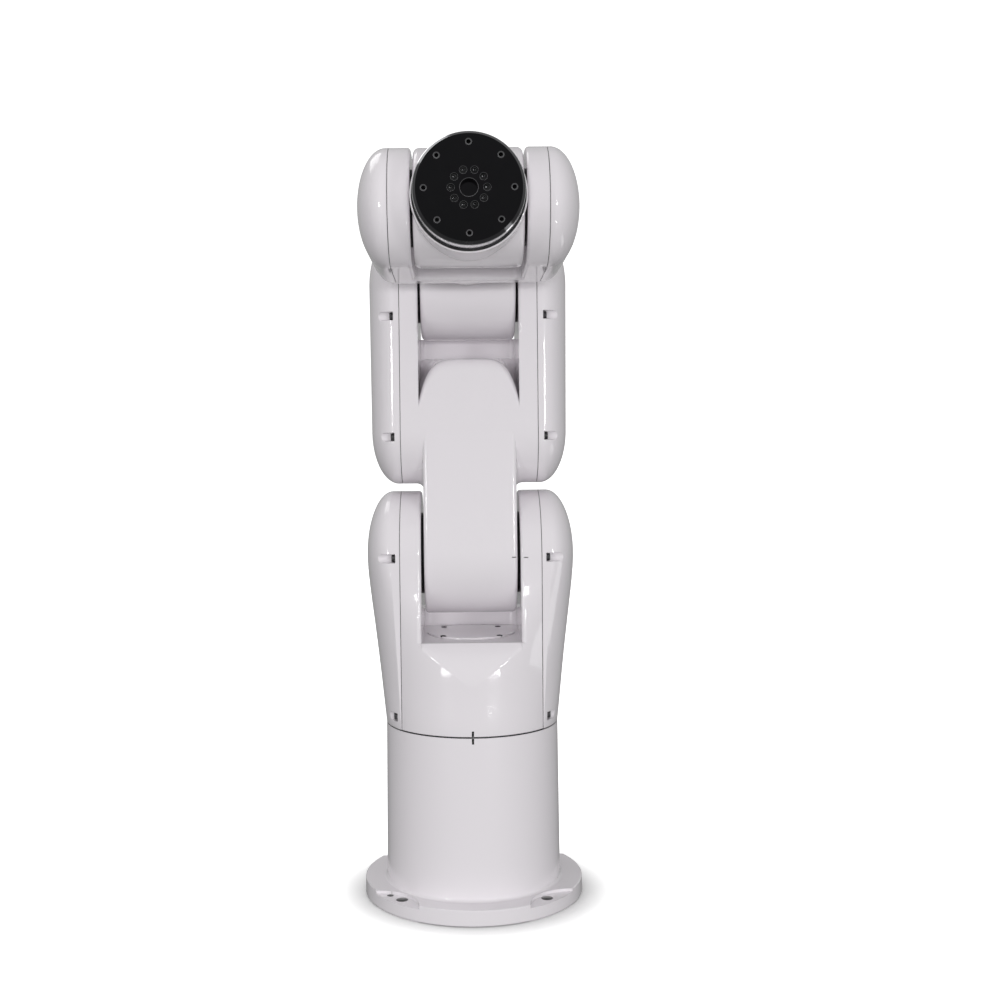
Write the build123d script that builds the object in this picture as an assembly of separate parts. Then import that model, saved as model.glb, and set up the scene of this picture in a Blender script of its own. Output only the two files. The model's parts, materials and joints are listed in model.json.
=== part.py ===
"""A six-axis bench robot arm with forked shoulder, elbow and wrist.

Millimetres, +Z up. The origin is on the waist axis, at the underside of the base flange.
The arm stands in its working pose: upper arm upright, forearm level and pointing along -Y.
"""
from build123d import *
import math
import os

# Joint axes: heights above the mounting face, and distances forward of the waist axis.
# Cutting shapes run on past every surface to the last value.
shoulder_height = 334.5
elbow_height = 600.3
wrist_height = 640.7
wrist_forward = 211.0
beyond = 300.0
tool_face_forward = 300.6

# Base: round column on a bolted flange
column_foot_radius = 85.8
column_top_radius = 85.0
flange_radius = 107.5
flange_thickness = 15.5
base_top = 167.9
foot_fillet = 3.0
rim_relief = 1.0
rim_relief_radius = 100.0
mount_bolt_circle = 194.0
mount_hole_diameter = 11.0
spotface_depth = 3.0
spotface_radius = 41.0
spotface_reach = 131.0
pad_half_angle = 16.0
dowel_diameter = 6.0
dowel_place = (-80.3, -57.0)

# Cable socket at the back of the base
socket_height = 72.5
socket_flat = 79.0
socket_flat_half = 26.0
socket_flange_radius = 19.0
socket_shell_radius = 14.0
socket_bore_radius = 11.0
socket_face_thickness = 3.0
socket_floor = 6.0
socket_length = 16.0

# Waist joint
waist_bearing_radius = 84.3
waist_bearing_width = 20.0
waist_gap = 1.4
running_gap = 0.2
turret_bottom = base_top + waist_gap

# Shoulder fork, carried by the turret
shoulder_cheek_radius = 62.0
shoulder_inner = 47.5
shoulder_parting = 67.5
shoulder_crown_start = 76.0
shoulder_outer = 102.3
shoulder_floor = 254.5
shoulder_back_wall = 50.0
shoulder_back_wall_top = 272.5
floor_plate_radius = 43.5
floor_plate_thickness = 1.0
shoulder_hub_radius = 40.0
shoulder_rises = (0, 0.25, 0.5, 0.7, 0.85, 0.95, 1)
drum_depths = (85.0, 85.0, 84.0, 76.0, 67.0, 62.8, 62.0)
scoop_foot = 214.5
scoop_radius = 55.4
scoop_edge = 5.0
cover_rim_least = 0.5

# Gaskets between the castings and their side covers, and the recesses for the cover screws
gasket_thickness = 0.5
gasket_inset = 0.6
channel_radius = 4.1
channel_start = 72.0
shoulder_channels = ((58.3, 334.5), (38.5, 180.2))
arm_channels = ((47.0, 566.5), (46.5, 450.3))

# Upper arm: barrel in the shoulder fork, and the elbow fork above it
shoulder_barrel_radius = 59.5
shoulder_barrel_half = 44.8
arm_foot_height = 455.8
arm_foot_radius = 52.0
elbow_cheek_radius = 54.0
elbow_inner = 48.4
arm_parting = 66.0
arm_crown_start = 70.0
arm_outer = 96.5
elbow_outer = 97.8
arch_crown = 524.5
arch_side = 483.5
arm_back_floor = 530.5
arm_back_wall = 44.0
arm_back_wall_top = 550.5
arch_shares = (0, 0.3, 0.5, 0.65, 0.77, 0.87, 0.95, 1)
arch_rounding = 11.0
arm_wall_corner = 6.0
neck_depth = 51.8
link_edge = 4.0
neck_root_rounding = 8.0
neck_root_sweep = 14.0
elbow_hub_radius = 36.0

# Forearm: barrel in the elbow fork, and the round neck that carries the roll joint
elbow_barrel_radius = 53.8
elbow_barrel_half = 46.2
neck_radius = 47.5
neck_start = 75.0
neck_taper = 13.0
neck_end = 111.8
forearm_back = 43.0
rear_cover_depth = 16.0
rear_cover_rise = 20.0
roll_gap = 1.4
roll_bearing_radius = 44.0
roll_bearing_width = 12.0

# Wrist fork
wrist_cheek_radius = 49.7
wrist_fork_half_height = 50.7
wrist_inner = 47.2
cheek_gap = 1.5
wrist_parting = 65.0
wrist_crown_start = 68.0
wrist_outer = 92.6
wrist_web_front = 132.0
wrist_hub_radius = 32.0
wrist_rear_half_width = 92.0
wrist_rear_edge = 6.0

# Wrist barrel and tool flange
wrist_barrel_radius = 49.5
wrist_barrel_half = 45.2
collar_radius = 46.7
collar_end = 275.0
collar_edge = 1.2
seal_radius = 45.5
seal_thickness = 1.4
flange_back_radius = 44.1
flange_face_radius = 41.5
flange_chamfer = 4.0
tool_bolt_circle = 70.0
tool_tap_diameter = 3.3
tool_tap_depth = 10.0
tool_tap_count = 8
screw_circle = 28.0
screw_counterbore = 5.6
screw_counterbore_depth = 4.0
screw_count = 10
tool_bore_diameter = 14.0
tool_bore_depth = 8.0

# Small edge roundings
barrel_fillet = 5.0
cheek_edge = 3.0
slot_corner = 8.0
rim_edge = 1.0


def x_cylinder(radius, x_low, x_high, y, z):
    """Round bar along X between two places."""
    middle = (x_low + x_high) / 2
    return Pos(middle, y, z) * Rot(0, 90, 0) * Cylinder(radius, x_high - x_low)


def y_cylinder(radius, y_low, y_high, x, z):
    """Round bar along Y between two places."""
    middle = (y_low + y_high) / 2
    return Pos(x, middle, z) * Rot(90, 0, 0) * Cylinder(radius, y_high - y_low)


def block(x_low, x_high, y_low, y_high, z_low, z_high):
    """Box between two corners."""
    size = (x_high - x_low, y_high - y_low, z_high - z_low)
    return Pos((x_low + x_high) / 2, (y_low + y_high) / 2, (z_low + z_high) / 2) * Box(*size)


def dome(radius, parting, crown_start, outer, y, z, turn):
    """Round end of a side cover: a short rim and an elliptical crown, turned half round about X.

    With no turn the dome is the upper half; a turn of 90 makes it the front half.
    """
    lines = [
        Line((parting, 0), (parting, radius)),
        Line((parting, radius), (crown_start, radius)),
        EllipticalCenterArc((crown_start, 0), outer - crown_start, radius, start_angle=0, arc_size=90),
        Line((outer, 0), (parting, 0)),
    ]
    return Pos(0, y, z) * Rot(turn, 0, 0) * revolve(make_face(lines), Axis.X, 180)


def crown_section(half_depth, parting, crown_start, outer, centre):
    """Section of a side cover across its length: rim, elliptical crown about a centre, rim."""
    reach = outer - centre
    turn = math.acos((crown_start - centre) / reach)
    swing = math.degrees(turn)
    deep = half_depth / math.sin(turn)
    lines = [
        Line((parting, -half_depth), (crown_start, -half_depth)),
        EllipticalCenterArc((centre, 0), reach, deep, start_angle=-swing, arc_size=2 * swing),
        Line((crown_start, half_depth), (parting, half_depth)),
        Line((parting, half_depth), (parting, -half_depth)),
    ]
    return make_face(lines)


def front_plane(forward):
    """Upright plane at a distance forward of the waist axis, on the wrist's height, with X to the right."""
    return Plane(origin=(0, -forward, wrist_height), x_dir=(1, 0, 0), z_dir=(0, -1, 0))


def mirrored(solid):
    """The same solid on the other side of the arm."""
    return mirror(solid, about=Plane.YZ)


def base_casting():
    """Column and flange turned in one, with bolt recesses, foot pads and a flat for the socket."""
    outline = Polyline(
        (0, 0),
        (rim_relief_radius, 0),
        (rim_relief_radius, rim_relief),
        (flange_radius, rim_relief),
        (flange_radius, flange_thickness),
        (column_foot_radius, flange_thickness),
        (column_top_radius, base_top),
        (0, base_top),
        close=True,
    )
    solid = revolve(Plane.XZ * make_face(outline), Axis.Z)
    solid = fillet(rings(solid, column_foot_radius), foot_fillet)
    solid = fillet(rings(solid, flange_radius).sort_by(Axis.Z)[-1], rim_edge)
    pads = Pos(0, 0, rim_relief) * (
        Cylinder(flange_radius - rim_edge, 2 * rim_relief) - Cylinder(rim_relief_radius, 2 * rim_relief)
    )
    for quarter in range(4):
        turn = Rot(0, 0, 45 + 90 * quarter)
        solid += pads & (turn * pad_sector())
        solid -= turn * Pos(spotface_reach, 0, flange_thickness) * Cylinder(
            spotface_radius, 2 * spotface_depth
        )
        solid -= turn * Pos(mount_bolt_circle / 2, 0, 0) * Cylinder(
            mount_hole_diameter / 2, 4 * flange_thickness
        )
    for side in (1, -1):
        solid -= Pos(side * dowel_place[0], side * dowel_place[1], 0) * Cylinder(
            dowel_diameter / 2, 4 * flange_thickness
        )
    half = socket_flat_half
    solid -= block(-half, half, socket_flat, beyond, socket_height - half, socket_height + half)
    return solid


def rings(solid, radius):
    """Round edges of a solid that have a given radius."""
    return solid.edges().filter_by(GeomType.CIRCLE).filter_by(lambda e: abs(e.radius - radius) < 0.01)


def pad_sector():
    """Wedge that a foot pad is cut to, pointing along +X."""
    length = 2 * flange_radius
    rise = length * math.tan(math.radians(pad_half_angle))
    wedge = Polyline((0, 0), (length, -rise), (length, rise), close=True)
    return extrude(make_face(wedge), 2 * rim_relief)


def cable_socket():
    """Round connector shell on its mounting flange, at the back of the column."""
    face = socket_flat + socket_face_thickness
    end = socket_flat + socket_length
    shell = y_cylinder(socket_flange_radius, socket_flat, face, 0, socket_height)
    shell += y_cylinder(socket_shell_radius, face, end, 0, socket_height)
    return shell - y_cylinder(socket_bore_radius, socket_flat + socket_floor, beyond, 0, socket_height)


def waist_bearing():
    """Bearing ring that fills the waist seam a little way in from its edge."""
    height = waist_gap - running_gap
    return Pos(0, 0, base_top + height / 2) * (
        Cylinder(waist_bearing_radius, height)
        - Cylinder(waist_bearing_radius - waist_bearing_width, height)
    )


def swell(rise):
    """Share of the widening from the waist (0) to the shoulder axis (1), upright at its top."""
    return rise + rise**5 * (1 - rise)


def cheek_depth(rise):
    """Half depth of the turret at the cover joints."""
    low = math.sqrt(column_top_radius**2 - shoulder_parting**2)
    return low + (shoulder_cheek_radius - low) * swell(rise)


def turret_level(rise):
    """Height of a section of the turret."""
    return turret_bottom + (shoulder_height - turret_bottom) * rise


def turret_section(rise, middle_depth):
    """Level section of the turret between the cover joints, bowed to the front and the back."""
    p, h, m = shoulder_parting, cheek_depth(rise), middle_depth
    if m > h + 0.01:
        front = ThreePointArc((-p, -h), (0, -m), (p, -h))
        back = ThreePointArc((p, h), (0, m), (-p, h))
    else:
        front = Line((-p, -h), (p, -h))
        back = Line((p, h), (-p, h))
    sides = [Line((p, -h), (p, h)), Line((-p, h), (-p, -h))]
    return Pos(0, 0, turret_level(rise)) * make_face([front, back] + sides)


def fork_scoop():
    """Space in front of the fork floor. It curves down from the floor's lip to the face of the drum."""
    drum = column_top_radius
    centre = scoop_radius - drum
    rise = math.asin((shoulder_floor - scoop_foot) / scoop_radius)
    lip = centre - scoop_radius * math.cos(rise)
    middle = (
        centre - scoop_radius * math.cos(rise / 2),
        scoop_foot + scoop_radius * math.sin(rise / 2),
    )
    outline = make_face([
        ThreePointArc((-drum, scoop_foot), middle, (lip, shoulder_floor)),
        Line((lip, shoulder_floor), (-2 * drum, shoulder_floor)),
        Line((-2 * drum, shoulder_floor), (-2 * drum, scoop_foot)),
        Line((-2 * drum, scoop_foot), (-drum, scoop_foot)),
    ])
    return extrude(Plane.YZ * outline, shoulder_inner, both=True)


def shoulder_slot():
    """Space between the shoulder cheeks: a low part that a wall closes behind, and an open upper part."""
    w, high = shoulder_inner, 2 * shoulder_height
    low = block(-w, w, -beyond, shoulder_back_wall, shoulder_floor, high)
    low = fillet(low.edges().filter_by(Axis.Z).group_by(Axis.Y)[-1], slot_corner)
    return low + block(-w, w, -beyond, beyond, shoulder_back_wall_top, high)


def turret_casting():
    """Drum that rises into the two cheeks of the shoulder fork."""
    p, r = shoulder_parting, shoulder_cheek_radius
    solid = loft([turret_section(rise, depth) for rise, depth in zip(shoulder_rises, drum_depths)])
    upper = block(-p, p, -r, r, shoulder_height, shoulder_height + r)
    solid += x_cylinder(r, -p, p, 0, shoulder_height) & upper
    solid -= shoulder_slot()
    inner = [
        e for e in solid.edges()
        if abs(abs(e.center().X) - shoulder_inner) < 0.01 and e.bounding_box().max.Z > shoulder_height - 1
    ]
    solid = fillet(inner, cheek_edge) - fork_scoop()
    scoop_edges = [
        e for e in solid.edges()
        if e.length > shoulder_inner and e.bounding_box().max.Y < -shoulder_cheek_radius
        and scoop_foot - scoop_edge < e.bounding_box().min.Z < shoulder_floor - 1
    ]
    return fillet(scoop_edges, scoop_edge)


def turret_floor_plate():
    """Round cover plate let on to the floor of the fork."""
    return Pos(0, 0, shoulder_floor + floor_plate_thickness / 2) * Cylinder(
        floor_plate_radius, floor_plate_thickness
    )


def shoulder_cover_section(rise):
    """Level section of the right shoulder cover: round at the waist, elliptical at the shoulder axis."""
    inner = shoulder_parting + gasket_thickness
    outer = column_top_radius + (shoulder_outer - column_top_radius) * swell(rise)
    start = inner + cover_rim_least + (shoulder_crown_start - inner - cover_rim_least) * swell(rise)
    centre = shoulder_crown_start * swell(rise)
    return Pos(0, 0, turret_level(rise)) * crown_section(cheek_depth(rise), inner, start, outer, centre)


def shoulder_cover():
    """Right side cover of the shoulder: round over the joint, flowing down to the waist."""
    inner, start, outer = shoulder_parting + gasket_thickness, shoulder_crown_start, shoulder_outer
    skirt = loft([shoulder_cover_section(rise) for rise in shoulder_rises])
    head = dome(shoulder_cheek_radius, inner, start, outer, 0, shoulder_height, 0)
    return skirt + head - screw_channels(shoulder_channels)


def gasket(outline):
    """Thin sheet beside a casting, on the joint line of its right cover."""
    return extrude(outline, gasket_thickness)


def side_plane(place):
    """Upright plane beside the arm whose local X points back and whose local Y points up."""
    return Plane(origin=(place, 0, 0), x_dir=(0, 1, 0), z_dir=(1, 0, 0))


def shoulder_gasket():
    """Gasket under the right shoulder cover."""
    points = [(cheek_depth(rise) - gasket_inset, turret_level(rise)) for rise in shoulder_rises]
    radius = shoulder_cheek_radius - gasket_inset
    front = [(-depth, level) for depth, level in reversed(points)]
    outline = make_face([
        Spline(*points),
        ThreePointArc(points[-1], (0, shoulder_height + radius), front[0]),
        Spline(*front),
        Line(front[-1], points[0]),
    ])
    return gasket(side_plane(shoulder_parting) * outline)


def upper_arm_gasket():
    """Gasket under the right cover of the upper arm."""
    low, high = arm_foot_radius - gasket_inset, elbow_cheek_radius - gasket_inset
    outline = make_face([
        Line((low, arm_foot_height), (high, elbow_height)),
        ThreePointArc((high, elbow_height), (0, elbow_height + high), (-high, elbow_height)),
        Line((-high, elbow_height), (-low, arm_foot_height)),
        ThreePointArc((-low, arm_foot_height), (0, arm_foot_height - low), (low, arm_foot_height)),
    ])
    return gasket(side_plane(arm_parting) * outline)


def wrist_gasket():
    """Gasket under the right wrist cover."""
    low, high = wrist_fork_half_height - gasket_inset, wrist_cheek_radius - gasket_inset
    rear, front = -neck_end - roll_gap - gasket_inset, -wrist_forward
    outline = make_face([
        Line((rear, wrist_height + low), (front, wrist_height + high)),
        ThreePointArc(
            (front, wrist_height + high), (front - high, wrist_height), (front, wrist_height - high)
        ),
        Line((front, wrist_height - high), (rear, wrist_height - low)),
        Line((rear, wrist_height - low), (rear, wrist_height + low)),
    ])
    return gasket(side_plane(wrist_parting) * outline)


def screw_channels(places):
    """Grooves along X that let a key reach the cover screws, round inside, front and back alike."""
    channels = Part()
    for depth, height in places:
        for side in (1, -1):
            channels += x_cylinder(channel_radius, channel_start, beyond, side * depth, height)
            near, far = sorted((side * depth, side * beyond))
            low, high = height - channel_radius, height + channel_radius
            channels += block(channel_start, beyond, near, far, low, high)
    return channels


def hub_disc(radius, barrel_half, inner, y, z):
    """Bearing boss on the inside of a cheek, close to the end of the barrel."""
    return x_cylinder(radius, barrel_half + running_gap, inner, y, z)


def upper_arm_casting():
    """Shoulder barrel and neck in one, and the body of the elbow fork."""
    link = extrude(Plane.YZ * link_outline(), shoulder_barrel_half, both=True)
    rims = [
        e for e in link.edges()
        if abs(e.center().X) > shoulder_barrel_half - 0.01 and e.center().Z < arm_foot_height
    ]
    return elbow_fork() + fillet(rims, link_edge) + neck_gussets()


def link_outline():
    """Side view of the shoulder barrel and its neck: lines that leave the barrel at a tangent."""
    wide, slim = shoulder_barrel_radius, neck_depth
    lean = math.asin((wide - slim) / (arm_foot_height - shoulder_height))
    low = (wide * math.cos(lean), shoulder_height + wide * math.sin(lean))
    high = (slim * math.cos(lean), arm_foot_height + slim * math.sin(lean))
    return make_face([
        ThreePointArc((-low[0], low[1]), (0, shoulder_height - wide), low),
        Line(low, high),
        Line(high, (-high[0], high[1])),
        Line((-high[0], high[1]), (-low[0], low[1])),
    ])


def neck_gussets():
    """Hollow rounding between the neck and the round foot of the body. It fades out to the front."""
    r, side, inner = neck_root_rounding, shoulder_barrel_half, shoulder_barrel_half - link_edge
    foot, sink = arm_foot_radius, r * math.sqrt(0.5)
    section = make_face([
        Line((inner, foot - 1), (side + r, foot - 1)),
        Line((side + r, foot - 1), (side + r, foot)),
        ThreePointArc((side + r, foot), (side + r - sink, foot + r - sink), (side, foot + r)),
        Line((side, foot + r), (inner, foot + r)),
        Line((inner, foot + r), (inner, foot - 1)),
    ])
    ring = Pos(0, 0, arm_foot_height) * revolve(section, Axis.X)
    front = neck_depth - link_edge
    reach = block(inner, side + r, -front, front, shoulder_height, arm_foot_height)
    for y in (-front, front):
        reach -= Pos(side + neck_root_sweep, y, arm_foot_height) * Cylinder(neck_root_sweep, beyond)
    right = ring & reach
    return right + mirrored(right)


def arm_front(height):
    """Place of the upper arm's front face at a height."""
    share = (height - arm_foot_height) / (elbow_height - arm_foot_height)
    return -(arm_foot_radius + (elbow_cheek_radius - arm_foot_radius) * share)


def elbow_fork():
    """Body of the upper arm with the two elbow cheeks and the space between them."""
    low, high, p = arm_foot_radius, elbow_cheek_radius, arm_parting
    outline = Polyline(
        (-low, arm_foot_height),
        (low, arm_foot_height),
        (high, elbow_height),
        (-high, elbow_height),
        close=True,
    )
    solid = extrude(Plane.YZ * make_face(outline), p, both=True)
    solid += x_cylinder(low, -p, p, 0, arm_foot_height) + x_cylinder(high, -p, p, 0, elbow_height)
    solid -= block(-elbow_inner, elbow_inner, -2 * high, 2 * high, arm_back_wall_top, 2 * elbow_height)
    rims = [
        e for e in solid.edges()
        if abs(abs(e.center().X) - elbow_inner) < 0.01 and e.bounding_box().max.Z > elbow_height
    ]
    return fillet(rims, cheek_edge) - elbow_slot()


def elbow_slot():
    """Space between the elbow cheeks, lofted sideways over the arched web that closes it below."""
    right = [elbow_slot_section(share) for share in arch_shares]
    left = [elbow_slot_section(-share) for share in reversed(arch_shares[1:])]
    tool = loft(left + right)
    corners = [
        e for e in tool.edges()
        if e.bounding_box().min.Y > arm_back_wall - 0.01 and abs(e.center().X) > elbow_inner - 0.01
    ]
    return fillet(corners, arm_wall_corner)


def elbow_slot_section(share):
    """Upright section of the elbow space at a share of its half width. The web's front crest is rounded."""
    crest = arch_crown - (arch_crown - arch_side) * abs(share) ** 5
    front = arm_front(crest)
    slope = math.atan2(arm_back_floor - crest, arm_back_wall - front)
    turn = math.pi / 2 - slope
    reach = arch_rounding * math.tan(turn / 2)
    start = (front, crest - reach)
    end = (front + reach * math.cos(slope), crest + reach * math.sin(slope))
    middle = (
        front + arch_rounding * (1 - math.cos(turn / 2)),
        crest - reach + arch_rounding * math.sin(turn / 2),
    )
    far, top = -2 * elbow_cheek_radius, 2 * elbow_height
    back = (arm_back_wall, arm_back_floor)
    section = make_face([
        Line((far, crest - reach), start),
        ThreePointArc(start, middle, end),
        Line(end, back),
        Line(back, (arm_back_wall, top)),
        Line((arm_back_wall, top), (far, top)),
        Line((far, top), (far, crest - reach)),
    ])
    return Plane(origin=(elbow_inner * share, 0, 0), x_dir=(0, 1, 0), z_dir=(1, 0, 0)) * section


def upper_arm_cover():
    """Right side cover of the upper arm, round at both ends."""
    inner, start = arm_parting + gasket_thickness, arm_crown_start
    low = crown_section(arm_foot_radius, inner, start, arm_outer, start)
    high = crown_section(elbow_cheek_radius, inner, start, elbow_outer, start)
    middle = loft([Pos(0, 0, arm_foot_height) * low, Pos(0, 0, elbow_height) * high])
    foot = dome(arm_foot_radius, inner, start, arm_outer, 0, arm_foot_height, 180)
    head = dome(elbow_cheek_radius, inner, start, elbow_outer, 0, elbow_height, 0)
    return middle + foot + head - screw_channels(arm_channels)


def forearm_core():
    """Everything of the forearm in one, before its rear cover is parted off."""
    half = elbow_barrel_half
    barrel = x_cylinder(elbow_barrel_radius, -half, half, 0, elbow_height)
    barrel = fillet(barrel.edges().filter_by(GeomType.CIRCLE), barrel_fillet)
    slab = block(-half, half, -beyond, beyond, elbow_height, 2 * elbow_height)
    head = y_cylinder(neck_radius, -neck_start, forearm_back, 0, wrist_height) & slab
    bridge = block(-half, half, -elbow_barrel_radius, forearm_back, elbow_height, wrist_height)
    taper = Pos(0, -neck_start + neck_taper / 2, wrist_height) * Rot(90, 0, 0) * Cone(
        half, neck_radius, neck_taper
    )
    neck = y_cylinder(neck_radius, -neck_end, -neck_start, 0, wrist_height)
    return barrel + head + bridge + taper + neck


def forearm_parting():
    """Space of the rear cover behind the joint line."""
    seam = forearm_back - rear_cover_depth
    return block(-beyond, beyond, seam, beyond, elbow_height + rear_cover_rise, 2 * elbow_height)


def roll_bearing():
    """Bearing ring in the seam of the roll joint."""
    start = -neck_end - roll_gap + running_gap
    ring = y_cylinder(roll_bearing_radius, start, -neck_end, 0, wrist_height)
    return ring - y_cylinder(roll_bearing_radius - roll_bearing_width, -beyond, 0, 0, wrist_height)


def wrist_fork_casting():
    """Rear wall and two cheeks that hold the wrist barrel."""
    p, r = wrist_parting, wrist_cheek_radius
    body = loft([
        front_plane(neck_end + roll_gap) * Rectangle(2 * p, 2 * wrist_fork_half_height),
        front_plane(wrist_forward) * Rectangle(2 * p, 2 * r),
    ])
    nose = block(-p, p, -wrist_forward - r, -wrist_forward, wrist_height - r, wrist_height + r)
    body += x_cylinder(r, -p, p, -wrist_forward, wrist_height) & nose
    w = wrist_inner
    slot = block(-w, w, -beyond, -wrist_web_front, wrist_height - 2 * r, wrist_height + 2 * r)
    slot = fillet(slot.edges().filter_by(Axis.Z).group_by(Axis.Y)[-1], slot_corner)
    body -= slot
    inner = [
        e for e in body.edges()
        if abs(abs(e.center().X) - w) < 0.01 and e.bounding_box().min.Y < -wrist_forward + 1
    ]
    return fillet(inner, cheek_edge)


def wrist_cover():
    """Right side cover of the wrist fork."""
    inner, start = wrist_parting + gasket_thickness, wrist_crown_start
    low = crown_section(wrist_fork_half_height, inner, start, wrist_rear_half_width, start)
    high = crown_section(wrist_cheek_radius, inner, start, wrist_outer, start)
    middle = loft([front_plane(neck_end + roll_gap) * low, front_plane(wrist_forward) * high])
    rear = middle.faces().sort_by(Axis.Y)[-1].edges()
    middle = fillet([e for e in rear if e.geom_type != GeomType.LINE], wrist_rear_edge)
    head = dome(wrist_cheek_radius, inner, start, wrist_outer, -wrist_forward, wrist_height, 90)
    return middle + head


def wrist_barrel():
    """Barrel between the wrist cheeks, with the round collar that carries the tool flange."""
    half = wrist_barrel_half
    barrel = x_cylinder(wrist_barrel_radius, -half, half, -wrist_forward, wrist_height)
    barrel = fillet(barrel.edges().filter_by(GeomType.CIRCLE), barrel_fillet)
    fork_front = -wrist_forward - wrist_cheek_radius - cheek_gap
    collar = y_cylinder(collar_radius, -collar_end, -wrist_forward, 0, wrist_height)
    collar = fillet(rings(collar, collar_radius).sort_by(Axis.Y)[0], collar_edge)
    for side in (half, -beyond):
        collar -= block(side, side + beyond - half, fork_front, 0, 0, 2 * wrist_height)
    return barrel + collar


def flange_seal():
    """Dark seal between the collar and the turning flange."""
    return y_cylinder(seal_radius, -collar_end - seal_thickness, -collar_end, 0, wrist_height)


def tool_flange():
    """Turning flange with tapped holes, a ring of counterbores and a centre bore."""
    back = collar_end + seal_thickness + running_gap
    outline = Polyline(
        (0, back),
        (flange_back_radius, back),
        (flange_back_radius, tool_face_forward - flange_chamfer),
        (flange_face_radius, tool_face_forward),
        (0, tool_face_forward),
        close=True,
    )
    turned = revolve(make_face(outline), Axis.Y)
    tap = Cylinder(tool_tap_diameter / 2, 2 * tool_tap_depth)
    screw = Cylinder(screw_counterbore / 2, 2 * screw_counterbore_depth)
    bore = Cylinder(tool_bore_diameter / 2, 2 * tool_bore_depth)
    face = Pos(0, tool_face_forward, 0) * Rot(90, 0, 0)
    for k in range(tool_tap_count):
        turned -= face * Rot(0, 0, 360 * k / tool_tap_count) * Pos(tool_bolt_circle / 2, 0, 0) * tap
    for k in range(screw_count):
        turned -= face * Rot(0, 0, 360 * k / screw_count) * Pos(screw_circle / 2, 0, 0) * screw
    turned -= face * bore
    return Pos(0, 0, wrist_height) * Rot(0, 0, 180) * turned


def model():
    """All pieces by name."""
    forearm = forearm_core()
    rear_space = forearm_parting()
    shoulder_hub = hub_disc(shoulder_hub_radius, shoulder_barrel_half, shoulder_inner, 0, shoulder_height)
    elbow_hub = hub_disc(elbow_hub_radius, elbow_barrel_half, elbow_inner, 0, elbow_height)
    wrist_hub = hub_disc(
        wrist_hub_radius, wrist_barrel_half, wrist_inner, -wrist_forward, wrist_height
    )
    pieces = {
        "base_casting": base_casting(),
        "cable_socket": cable_socket(),
        "waist_bearing": waist_bearing(),
        "turret_casting": turret_casting(),
        "turret_floor_plate": turret_floor_plate(),
        "upper_arm_casting": upper_arm_casting(),
        "forearm_housing": forearm - rear_space,
        "forearm_rear_cover": forearm & rear_space,
        "roll_bearing": roll_bearing(),
        "wrist_fork_casting": wrist_fork_casting(),
        "wrist_barrel": wrist_barrel(),
        "flange_seal": flange_seal(),
        "tool_flange": tool_flange(),
    }
    pairs = {
        "shoulder_cover": shoulder_cover(),
        "shoulder_gasket": shoulder_gasket(),
        "shoulder_hub": shoulder_hub,
        "upper_arm_cover": upper_arm_cover(),
        "upper_arm_gasket": upper_arm_gasket(),
        "elbow_hub": elbow_hub,
        "wrist_cover": wrist_cover(),
        "wrist_gasket": wrist_gasket(),
        "wrist_hub": wrist_hub,
    }
    for name, right in pairs.items():
        pieces[name + "_right"] = right
        pieces[name + "_left"] = mirrored(right)
    return pieces


os.makedirs("parts", exist_ok=True)
for name, solid in model().items():
    export_step(solid, f"parts/{name}.step")
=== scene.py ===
import json
import math

import bmesh
import bpy
from mathutils import Matrix, Vector


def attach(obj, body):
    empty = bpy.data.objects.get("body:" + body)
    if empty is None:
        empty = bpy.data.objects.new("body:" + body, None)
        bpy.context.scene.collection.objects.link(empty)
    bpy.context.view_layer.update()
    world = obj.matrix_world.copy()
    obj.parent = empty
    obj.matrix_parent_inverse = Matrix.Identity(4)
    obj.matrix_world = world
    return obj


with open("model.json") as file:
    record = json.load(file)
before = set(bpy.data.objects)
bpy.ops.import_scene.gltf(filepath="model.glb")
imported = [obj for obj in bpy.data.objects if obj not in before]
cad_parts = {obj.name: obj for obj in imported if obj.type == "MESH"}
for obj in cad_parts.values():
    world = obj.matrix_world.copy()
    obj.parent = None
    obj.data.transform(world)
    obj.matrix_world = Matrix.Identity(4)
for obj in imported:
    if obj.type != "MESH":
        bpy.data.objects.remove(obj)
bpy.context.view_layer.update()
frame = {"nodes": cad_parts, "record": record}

# Joint heights and places, in metres, as the CAD has them
shoulder_height = 0.3345
wrist_height = 0.6407
tool_face = -0.3006
tool_face_radius = 0.0415
tool_rim_radius = 0.0441
tool_bolt_radius = 0.035
tool_tap_count = 8
tool_screw_radius = 0.014
tool_screw_count = 10
tool_counterbore_depth = 0.004
tool_bore_radius = 0.007
tool_bore_depth = 0.008
floor_plate_top = 0.2555
floor_screw_place = (0.0275, 0.030)
socket_height = 0.0725
socket_floor = 0.085
socket_bore_radius = 0.011
base_mark_places = ((0.085, 0.1625), (0.085, 0.1677))
turret_mark_places = ((0.08505, 0.1696), (0.08525, 0.1730), (0.08531, 0.1746))
shoulder_barrel_radius = 0.0595
shoulder_barrel_half = 0.0448
shoulder_barrel_edge = 0.004
shoulder_cheek_radius = 0.062

# Cover screws: body, distance out from the middle plane, and (depth, height) of each channel
cover_screws = (
    ("turret", 0.072, ((0.0583, 0.3345), (0.0385, 0.1802))),
    ("upper_arm", 0.072, ((0.047, 0.5665), (0.0465, 0.4503))),
)


# Materials

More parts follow.
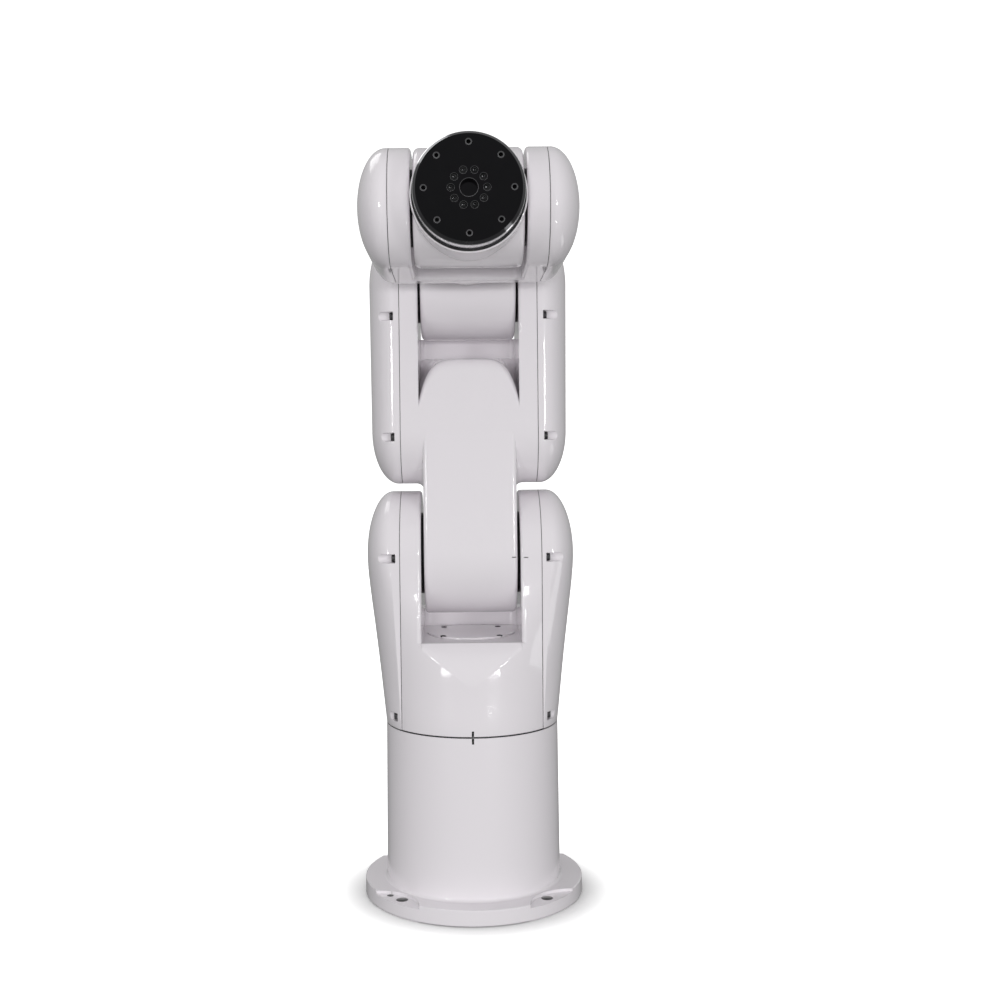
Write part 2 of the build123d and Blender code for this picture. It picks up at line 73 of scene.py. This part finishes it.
class Nodes:
    """Small helper that builds one node material."""

    def __init__(self, name):
        self.material = bpy.data.materials.new(name)
        self.material.use_nodes = True
        self.tree = self.material.node_tree
        self.shader = self.tree.nodes["Principled BSDF"]
        self.place = self.add("ShaderNodeTexCoord").outputs["Object"]

    def add(self, kind, **settings):
        node = self.tree.nodes.new(kind)
        for key, value in settings.items():
            setattr(node, key, value)
        return node

    def link(self, output, socket):
        self.tree.links.new(output, socket)

    def constants(self, **values):
        """Sets the shader's own sockets by name, with spaces written as underscores."""
        for key, value in values.items():
            self.shader.inputs[key.replace("_", " ")].default_value = value

    def noise(self, scale, detail=3.0, roughness=0.5):
        node = self.add("ShaderNodeTexNoise")
        node.inputs["Scale"].default_value = scale
        node.inputs["Detail"].default_value = detail
        node.inputs["Roughness"].default_value = roughness
        self.link(self.place, node.inputs["Vector"])
        return node.outputs["Fac"]

    def spread(self, value, low, high, start=0.35, end=0.65):
        """Maps a noise value to a range."""
        node = self.add("ShaderNodeMapRange")
        for key, number in (("From Min", start), ("From Max", end), ("To Min", low), ("To Max", high)):
            node.inputs[key].default_value = number
        self.link(value, node.inputs["Value"])
        return node.outputs["Result"]

    def ramp(self, value, stops):
        """Colour ramp from (place, colour) stops."""
        node = self.add("ShaderNodeValToRGB")
        points = node.color_ramp.elements
        while len(points) < len(stops):
            points.new(0.5)
        for point, (place, colour) in zip(points, stops):
            point.position = place
            point.color = (*colour, 1.0)
        self.link(value, node.inputs["Fac"])
        return node.outputs["Color"]

    def bump(self, height, strength, distance, under=None):
        node = self.add("ShaderNodeBump")
        node.inputs["Strength"].default_value = strength
        node.inputs["Distance"].default_value = distance
        self.link(height, node.inputs["Height"])
        if under is not None:
            self.link(under, node.inputs["Normal"])
        return node.outputs["Normal"]

    def soft_edges(self, radius):
        node = self.add("ShaderNodeBevel", samples=6)
        node.inputs["Radius"].default_value = radius
        return node.outputs["Normal"]

    def finish(self, colour=None, roughness=None, normal=None):
        if colour is not None:
            self.link(colour, self.shader.inputs["Base Color"])
        if roughness is not None:
            self.link(roughness, self.shader.inputs["Roughness"])
        if normal is not None:
            self.link(normal, self.shader.inputs["Normal"])
        return self.material


# Dark grey that paints shade on the walls of the base's bolt and dowel holes
bore_shade_grey = (0.34, 0.335, 0.34)
bolt_offset = 0.0686
bolt_bore = ((bolt_offset, bolt_offset), 0.0055)
other_bolt_bore = ((bolt_offset, -bolt_offset), 0.0055)
dowel_bore = ((0.0803, 0.0570), 0.0030)
bore_edge = 0.0004


def paint_bore_shade(m, tone, bores):
    """Painted shade in upright holes: their walls turn dark grey. Each bore is ((x, y), radius), and stands for the
    opposite one too.
    """
    flat = m.add("ShaderNodeVectorMath", operation="MULTIPLY")
    flat.inputs[1].default_value = (1.0, 1.0, 0.0)
    m.link(m.place, flat.inputs[0])
    for (x, y), radius in bores:
        for side in (1, -1):
            reach = m.add("ShaderNodeVectorMath", operation="DISTANCE")
            reach.inputs[1].default_value = (side * x, side * y, 0.0)
            m.link(flat.outputs["Vector"], reach.inputs[0])
            mix = m.add("ShaderNodeMix", data_type="RGBA")
            m.link(m.spread(reach.outputs["Value"], 1.0, 0.0, radius, radius + bore_edge), mix.inputs["Factor"])
            m.link(tone, mix.inputs[6])
            mix.inputs[7].default_value = (*bore_shade_grey, 1.0)
            tone = mix.outputs[2]
    return tone


def white_paint(name, bores=()):
    """Glossy white enamel: faint orange peel, slight unevenness of tone and of gloss. Given bores, it paints shade on
    the walls of those holes.
    """
    m = Nodes(name)
    m.constants(Coat_Weight=1.0, Coat_Roughness=0.06, Coat_IOR=1.5, IOR=1.45, Specular_IOR_Level=0.2)
    tone = m.ramp(m.noise(5.0, 1.0), ((0.2, (0.878, 0.843, 0.877)), (0.8, (0.884, 0.849, 0.883))))
    tone = paint_bore_shade(m, tone, bores)
    gloss = m.spread(m.noise(9.0, 1.0), 0.33, 0.36)
    edges = m.soft_edges(0.0012)
    peel = m.bump(m.noise(420.0, 1.0), 0.03, 0.00004, edges)
    return m.finish(tone, gloss, peel)


def dark_rubber(name, low, high, rough):
    """Dark seal rubber with a fine grain."""
    m = Nodes(name)
    m.constants(IOR=1.5, Specular_IOR_Level=0.35)
    tone = m.ramp(m.noise(140.0, 6.0), ((0.35, low), (0.65, high)))
    gloss = m.spread(m.noise(260.0, 4.0), rough - 0.08, rough + 0.08)
    grain = m.bump(m.noise(1800.0, 3.0), 0.25, 0.00005)
    return m.finish(tone, gloss, grain)


# Flange colours that paint reflections: dark on the face, grey on the chamfer, bright on the rim
dark_face_reflection = (0.024, 0.024, 0.026)
grey_chamfer_reflection = (0.11, 0.11, 0.115)
bright_rim_reflection = (0.93, 0.93, 0.94)


def flange_steel():
    """Turned steel with fine rings, whose colour paints reflections: a dark mirror face, a grey chamfer and a bright
    rim.
    """
    m = Nodes("flange_steel")
    m.constants(Metallic=1.0, IOR=2.5)
    axis = m.add("ShaderNodeMapping")
    axis.inputs["Location"].default_value = (0.0, 0.0, -wrist_height)
    m.link(m.place, axis.inputs["Vector"])
    flat = m.add("ShaderNodeVectorMath", operation="MULTIPLY")
    flat.inputs[1].default_value = (1.0, 0.0, 1.0)
    m.link(axis.outputs["Vector"], flat.inputs[0])
    reach = m.add("ShaderNodeVectorMath", operation="LENGTH")
    m.link(flat.outputs["Vector"], reach.inputs[0])
    # Painted reflections by distance from the tool axis: dark face, grey chamfer, bright rim
    across = m.spread(reach.outputs["Value"], 0.0, 1.0, tool_face_radius - 0.0005, tool_rim_radius + 0.0005)
    reflection_zones = m.ramp(across, ((0.12, dark_face_reflection), (0.16, grey_chamfer_reflection), (0.70, grey_chamfer_reflection), (0.80, bright_rim_reflection)))
    rings = m.add("ShaderNodeTexWave", wave_type="RINGS", rings_direction="Y")
    rings.inputs["Scale"].default_value = 900.0
    rings.inputs["Distortion"].default_value = 0.4
    m.link(axis.outputs["Vector"], rings.inputs["Vector"])
    mottle = m.ramp(m.noise(120.0, 5.0), ((0.3, (0.92, 0.92, 0.92)), (0.7, (1.0, 1.0, 1.0))))
    mix = m.add("ShaderNodeMix", data_type="RGBA", blend_type="MULTIPLY")
    mix.inputs["Factor"].default_value = 1.0
    m.link(reflection_zones, mix.inputs[6])
    m.link(mottle, mix.inputs[7])
    gloss = m.spread(m.noise(300.0, 4.0), 0.10, 0.16)
    turned = m.bump(rings.outputs["Fac"], 0.02, 0.00002)
    return m.finish(mix.outputs[2], gloss, turned)


def plain_steel(name, low, high, rough, scale=220.0):
    """Steel with faint mottling and fine scratches."""
    m = Nodes(name)
    m.constants(Metallic=1.0)
    tone = m.ramp(m.noise(scale, 5.0), ((0.3, low), (0.7, high)))
    gloss = m.spread(m.noise(4 * scale, 4.0), rough - 0.07, rough + 0.07)
    grain = m.bump(m.noise(10 * scale, 3.0), 0.12, 0.00003)
    return m.finish(tone, gloss, grain)


def mark_ink():
    """Matt black ink of the zero marks."""
    m = Nodes("mark_ink")
    m.constants(IOR=1.4)
    tone = m.ramp(m.noise(900.0, 4.0), ((0.35, (0.006, 0.006, 0.007)), (0.65, (0.016, 0.016, 0.017))))
    gloss = m.spread(m.noise(500.0, 3.0), 0.45, 0.6)
    grain = m.bump(m.noise(2600.0, 2.0), 0.2, 0.00002)
    return m.finish(tone, gloss, grain)


def studio_paper():
    """Bright seamless paper of the floor and the backdrop. It glows, but not under the object, and the glow fades in
    round the base as a painted shadow.
    """
    m = Nodes("studio_paper")
    m.constants(Specular_IOR_Level=0.1, Emission_Color=(1.0, 1.0, 1.0, 1.0))
    reach = m.add("ShaderNodeVectorMath", operation="LENGTH")
    m.link(m.place, reach.inputs[0])
    # The glow fades out towards the base: a painted contact shadow under and round the object
    glow_with_painted_shadow = m.spread(reach.outputs["Value"], 0.0, 0.85, 0.104, 0.150)
    m.link(glow_with_painted_shadow, m.shader.inputs["Emission Strength"])
    tone = m.ramp(m.noise(3.0, 3.0), ((0.3, (0.93, 0.93, 0.93)), (0.7, (0.95, 0.95, 0.95))))
    gloss = m.spread(m.noise(40.0, 4.0), 0.8, 0.95)
    grain = m.bump(m.noise(700.0, 3.0), 0.05, 0.0001)
    return m.finish(tone, gloss, grain)


paint = white_paint("gloss_white_paint")
# This enamel has painted shade in the base's bolt and dowel holes
base_paint_hole_shade = white_paint("gloss_white_paint_shaded_holes", (bolt_bore, other_bolt_bore, dowel_bore))
seal = dark_rubber("dark_seal_rubber", (0.012, 0.012, 0.013), (0.03, 0.03, 0.032), 0.5)
steel = flange_steel()
socket_steel = plain_steel("socket_nickel", (0.52, 0.52, 0.52), (0.66, 0.66, 0.65), 0.3)
screw_grey = plain_steel("screw_dark_steel", (0.10, 0.10, 0.105), (0.20, 0.20, 0.205), 0.34)
screw_black = plain_steel("screw_black_oxide", (0.03, 0.03, 0.032), (0.07, 0.07, 0.072), 0.25)
rim_steel = plain_steel("rim_steel", (0.30, 0.30, 0.31), (0.40, 0.40, 0.41), 0.2)
paper = studio_paper()
brass = plain_steel("pin_gold", (0.55, 0.38, 0.14), (0.75, 0.55, 0.24), 0.25)
insert_black = dark_rubber("socket_insert", (0.015, 0.015, 0.016), (0.035, 0.035, 0.036), 0.45)
ink = mark_ink()
node_materials = {"white_paint": paint, "dark_seal": seal, "flange_metal": steel, "socket_metal": socket_steel}


def dress_nodes():
    """Gives every CAD node the material of its slot."""
    for part in frame["record"]["subparts"]:
        item = frame["nodes"][part["node"]]
        for place in item.material_slots:
            place.material = node_materials[part["material_slot"]]
    # The base casting gets the enamel with painted shade in its holes
    for place in frame["nodes"]["base_casting"].material_slots:
        place.material = base_paint_hole_shade


# Pieces

def lathe(bm, rings, sides, turn):
    """Adds a surface of revolution. Each ring is (radius, height, corners): corners 0 is round, 6 is a hexagon."""
    rows = []
    for radius, height, corners in rings:
        row = []
        for k in range(sides):
            angle = 2 * math.pi * k / sides
            reach = radius
            if corners:
                half = math.pi / corners
                reach = radius * math.cos(half) / math.cos((angle % (2 * half)) - half)
            row.append(bm.verts.new(turn @ Vector((reach * math.cos(angle), reach * math.sin(angle), height))))
        rows.append(row)
    for low, high in zip(rows, rows[1:]):
        for k in range(sides):
            following = (k + 1) % sides
            bm.faces.new((low[k], low[following], high[following], high[k]))
    bm.faces.new(reversed(rows[0]))
    bm.faces.new(rows[-1])


def piece(name, bm, material, body, angle=35):
    """Turns a finished bmesh into a piece that rides on a body."""
    bmesh.ops.recalc_face_normals(bm, faces=bm.faces)
    mesh = bpy.data.meshes.new(name)
    bm.to_mesh(mesh)
    bm.free()
    mesh.materials.append(material)
    item = bpy.data.objects.new(name, mesh)
    bpy.context.scene.collection.objects.link(item)
    mesh.shade_smooth()
    mesh.set_sharp_from_angle(angle=math.radians(angle))
    if body:
        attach(item, body)
    return item


def facing(direction, place):
    """Matrix that puts a piece drawn along +Z at a place, pointing in a direction."""
    turn = Vector(direction).to_track_quat("Z", "Y").to_matrix().to_4x4()
    return Matrix.Translation(Vector(place)) @ turn


def cap_screw(bm, head_radius, head_height, key_radius, turn):
    """Socket head cap screw: chamfered head with a hexagon key hole."""
    chamfer = 0.12 * head_radius
    rings = (
        (head_radius, 0.0, 0),
        (head_radius, head_height - chamfer, 0),
        (head_radius - chamfer, head_height, 0),
        (key_radius * 1.15, head_height, 0),
        (key_radius, head_height - 0.1 * head_radius, 6),
        (key_radius, head_height * 0.45, 6),
        (key_radius * 0.2, head_height * 0.36, 6),
    )
    lathe(bm, rings, 48, turn)


def add_cover_screws():
    """Cap screws at the inner end of every channel in the side covers."""
    for body, out, places in cover_screws:
        bm = bmesh.new()
        for depth, height in places:
            for side in (1, -1):
                for front in (1, -1):
                    turn = facing((side, 0, 0), (side * out, front * depth, height))
                    cap_screw(bm, 0.0035, 0.0036, 0.00173, turn)
        piece(f"{body}_cover_screws", bm, screw_grey, body)


def add_floor_screws():
    """Flat screws that hold the round floor plate of the shoulder fork."""
    bm = bmesh.new()
    wide, deep = floor_screw_place
    for x in (wide, -wide):
        for y in (deep, -deep):
            rings = (
                (0.0030, -0.0006, 0),
                (0.0030, 0.0002, 0),
                (0.0026, 0.0006, 0),
                (0.0015, 0.0007, 0),
                (0.0013, 0.0006, 6),
                (0.0013, -0.0002, 6),
                (0.0002, -0.0004, 6),
            )
            lathe(bm, rings, 36, facing((0, 0, 1), (x, y, floor_plate_top)))
    piece("floor_plate_screws", bm, screw_black, "turret")


def around(count, radius, forward):
    """Places on a circle about the tool axis, first one to the right."""
    for k in range(count):
        angle = 2 * math.pi * k / count
        yield (radius * math.cos(angle), forward, wrist_height + radius * math.sin(angle))


def add_flange_screws():
    """Cap screws sunk in the counterbores of the tool flange."""
    bm = bmesh.new()
    for place in around(tool_screw_count, tool_screw_radius, tool_face + tool_counterbore_depth):
        cap_screw(bm, 0.00262, 0.003, 0.0013, facing((0, -1, 0), place))
    piece("flange_cap_screws", bm, screw_black, "flange")


def add_hole_rims():
    """Countersunk mouths of the tapped holes, and fine bevels round the counterbores and the centre recess."""
    bm = bmesh.new()
    leans = []
    for place in around(tool_tap_count, tool_bolt_radius, tool_face):
        hole_rim(bm, leans, 0.0027, 0.00168, facing((0, -1, 0), place))
    for place in around(tool_screw_count, tool_screw_radius, tool_face):
        hole_rim(bm, leans, 0.0031, 0.0028, facing((0, -1, 0), place))
    hole_rim(bm, leans, tool_bore_radius + 0.0004, tool_bore_radius, facing((0, -1, 0), (0, tool_face, wrist_height)))
    rims = piece("flange_hole_rims", bm, rim_steel, "flange")
    rims.data.normals_split_custom_set_from_vertices(leans)


def hole_rim(bm, leans, outer, inner, turn):
    """Thin ring round the mouth of a hole. Its normals lean to the hole's axis, as on a bevel."""
    proud = 0.00004
    rows = []
    for radius in (outer, inner):
        row = []
        for k in range(48):
            out = Vector((math.cos(2 * math.pi * k / 48), math.sin(2 * math.pi * k / 48), 0.0))
            row.append(bm.verts.new(turn @ (radius * out + Vector((0.0, 0.0, proud)))))
            leans.append((turn.to_3x3() @ Vector((-out.x, -out.y, 1.0))).normalized())
        rows.append(row)
    for k in range(48):
        following = (k + 1) % 48
        bm.faces.new((rows[0][k], rows[0][following], rows[1][following], rows[1][k]))


def add_socket_insert():
    """Pin insert and pins of the round socket at the back of the base."""
    bm = bmesh.new()
    back = facing((0, 1, 0), (0, socket_floor, socket_height))
    rings = ((socket_bore_radius - 0.0004, 0.0, 0), (socket_bore_radius - 0.0004, 0.0035, 0),
             (socket_bore_radius - 0.0010, 0.0042, 0), (0.0012, 0.0042, 0))
    lathe(bm, rings, 64, back)
    piece("socket_insert", bm, insert_black, "base")
    bm = bmesh.new()
    for count, radius in ((10, 0.0070), (6, 0.0038)):
        for k in range(count):
            angle = 2 * math.pi * k / count
            place = back @ Matrix.Translation((radius * math.cos(angle), radius * math.sin(angle), 0.004))
            lathe(bm, ((0.00055, 0.0, 0), (0.00055, 0.0040, 0), (0.0002, 0.0046, 0)), 16, place)
    piece("socket_pins", bm, brass, "base")


def painted_mark(bm, line, side, half_width):
    """Thin solid mark that follows a line on a surface. Each entry is (point, outward direction)."""
    proud = 0.00012
    corners = ((-proud, -half_width), (proud, -half_width), (proud, half_width), (-proud, half_width))
    rows = []
    for point, out in line:
        rows.append([bm.verts.new(point + reach * out + edge * side) for reach, edge in corners])
    for a, b in zip(rows, rows[1:]):
        for k in range(4):
            following = (k + 1) % 4
            bm.faces.new((a[k], a[following], b[following], b[k]))
    bm.faces.new(reversed(rows[0]))
    bm.faces.new(rows[-1])


def add_waist_marks():
    """Zero marks on both sides of the waist seam."""
    front, across = Vector((0, -1, 0)), Vector((1, 0, 0))
    for name, body, places in (
        ("waist_mark_high", "turret", turret_mark_places),
        ("waist_mark_low", "base", base_mark_places),
    ):
        line = [(Vector((0, -forward, height)), front) for forward, height in places]
        bm = bmesh.new()
        painted_mark(bm, line, across, 0.0010)
        piece(name, bm, ink, body)


def add_shoulder_marks():
    """Zero marks on the shoulder barrel's rounded edge and on the cheek beside it."""
    front, up = Vector((0, -1, 0)), Vector((0, 0, 1))
    edge_start = shoulder_barrel_half - shoulder_barrel_edge
    line = []
    for step in range(6):
        x = 0.0392 + 0.0008 * step
        lean = max(0.0, x - edge_start) / shoulder_barrel_edge
        drop = shoulder_barrel_edge * (1 - math.sqrt(1 - lean * lean))
        out = Vector((lean, -math.sqrt(1 - lean * lean), 0))
        line.append((Vector((x, drop - shoulder_barrel_radius, shoulder_height)), out))
    bm = bmesh.new()
    painted_mark(bm, line, up, 0.0004)
    piece("shoulder_mark_barrel", bm, ink, "upper_arm")
    bm = bmesh.new()
    line = [(Vector((x, -shoulder_cheek_radius, shoulder_height)), front) for x in (0.0506, 0.0546)]
    painted_mark(bm, line, up, 0.0004)
    piece("shoulder_mark_cheek", bm, ink, "turret")


# Studio

# Radius of the floor's middle, which has no glow: painted shade under the object
floor_middle_radius = 0.104


def turned_sheet(name, line, sides=96):
    """Sheet of revolution about the waist axis, from (radius, height) points."""
    bm = bmesh.new()
    rows = []
    for radius, height in line:
        turns = [2 * math.pi * k / sides for k in range(sides)]
        rows.append([bm.verts.new((radius * math.cos(a), radius * math.sin(a), height)) for a in turns])
    for low, high in zip(rows, rows[1:]):
        for k in range(sides):
            following = (k + 1) % sides
            bm.faces.new((low[k], low[following], high[following], high[k]))
    sheet = piece(name, bm, paper, None, 60)
    return sheet


def add_studio():
    """Level floor whose middle under the object has no glow, as painted shade, and a round backdrop that curves up
    out of it far off.
    """
    turned_sheet("studio_floor_middle", ((0.001, 0.0), (floor_middle_radius, 0.0)))
    floor = turned_sheet("studio_floor", ((floor_middle_radius, 0.0), (1.2, 0.0)))
    floor.visible_diffuse = False
    floor.visible_glossy = False
    bend, flat, top = 1.5, 2.6, 6.0
    line = [(1.2, 0.0), (flat, 0.0)]
    steps = 16
    for k in range(1, steps + 1):
        angle = 0.5 * math.pi * k / steps
        line.append((flat + bend * math.sin(angle), bend * (1 - math.cos(angle))))
    line.append((flat + bend, top))
    backdrop = turned_sheet("studio_backdrop", line)
    backdrop.visible_diffuse = False
    backdrop.visible_glossy = False


def soft_light(name, place, aim, width, height, watts):
    """Rectangular soft box that points at a place."""
    light = bpy.data.lights.new(name, "AREA")
    light.shape = "RECTANGLE"
    light.size = width
    light.size_y = height
    light.energy = watts
    item = bpy.data.objects.new(name, light)
    item.location = place
    item.visible_camera = False
    item.rotation_euler = (Vector(aim) - Vector(place)).to_track_quat("-Z", "Y").to_euler()
    bpy.context.scene.collection.objects.link(item)
    return item


def add_lights():
    """Soft boxes behind the camera, beside it and behind the arm, and small ones that only make highlights."""
    middle = (0.0, 0.0, 0.40)
    front = soft_light("front", (0.0, -3.2, 0.40), middle, 1.4, 0.5, 31.5)
    back = soft_light("back", (0.0, 3.0, 0.9), middle, 2.0, 1.0, 9.0)
    front.visible_glossy = False
    back.visible_glossy = False
    soft_light("box_right", (1.36, -2.67, 0.55), middle, 0.45, 0.25, 11.0)
    soft_light("box_left", (-1.68, -2.48, 0.60), middle, 0.50, 0.28, 9.0)
    soft_light("top_left", (-0.95, 0.60, 1.95), middle, 0.9, 0.9, 5.0)
    soft_light("low_right", (0.65, -0.08, 0.16), (0.0, -0.3, 0.62), 0.30, 0.14, 0.22)
    drum = (0.0, -0.085, 0.225)
    drum_right = soft_light("drum_right", (0.46, -0.94, 0.056), drum, 0.26, 0.05, 0.8)
    drum_left = soft_light("drum_left", (-0.544, -0.917, 0.055), drum, 0.22, 0.05, 0.4)
    drum_right.visible_diffuse = False
    drum_left.visible_diffuse = False
    world = bpy.data.worlds.new("studio_air")
    world.use_nodes = True
    tree = world.node_tree
    background = tree.nodes["Background"]
    background.inputs["Color"].default_value = (1.0, 1.0, 1.0, 1.0)
    direction = tree.nodes.new("ShaderNodeTexCoord").outputs["Generated"]
    split = tree.nodes.new("ShaderNodeSeparateXYZ")
    tree.links.new(direction, split.inputs["Vector"])
    fade = tree.nodes.new("ShaderNodeMapRange")
    for key, number in (("From Min", -0.4), ("From Max", 0.4), ("To Min", 0.20), ("To Max", 0.46)):
        fade.inputs[key].default_value = number
    tree.links.new(split.outputs["Z"], fade.inputs["Value"])
    tree.links.new(fade.outputs["Result"], background.inputs["Strength"])
    bpy.context.scene.world = world
    bpy.context.scene.view_settings.view_transform = "Standard"


# Camera: straight ahead at the height of the upper arm's foot, with a very slight roll
eye = (-0.009, -1.28, 0.4488)
lens = 46.08
eye_roll = 0.64
eye_shift = (0.040, -0.062)


def add_camera():
    camera = bpy.data.cameras.new("photo_camera")
    camera.sensor_width = 36.0
    camera.lens = lens
    camera.shift_x, camera.shift_y = eye_shift
    item = bpy.data.objects.new("photo_camera", camera)
    item.location = eye
    item.rotation_euler = (math.radians(90), math.radians(eye_roll), 0.0)
    bpy.context.scene.collection.objects.link(item)
    bpy.context.scene.camera = item


dress_nodes()
add_cover_screws()
add_floor_screws()
add_flange_screws()
add_hole_rims()
add_socket_insert()
add_waist_marks()
add_shoulder_marks()
add_studio()
add_lights()
add_camera()
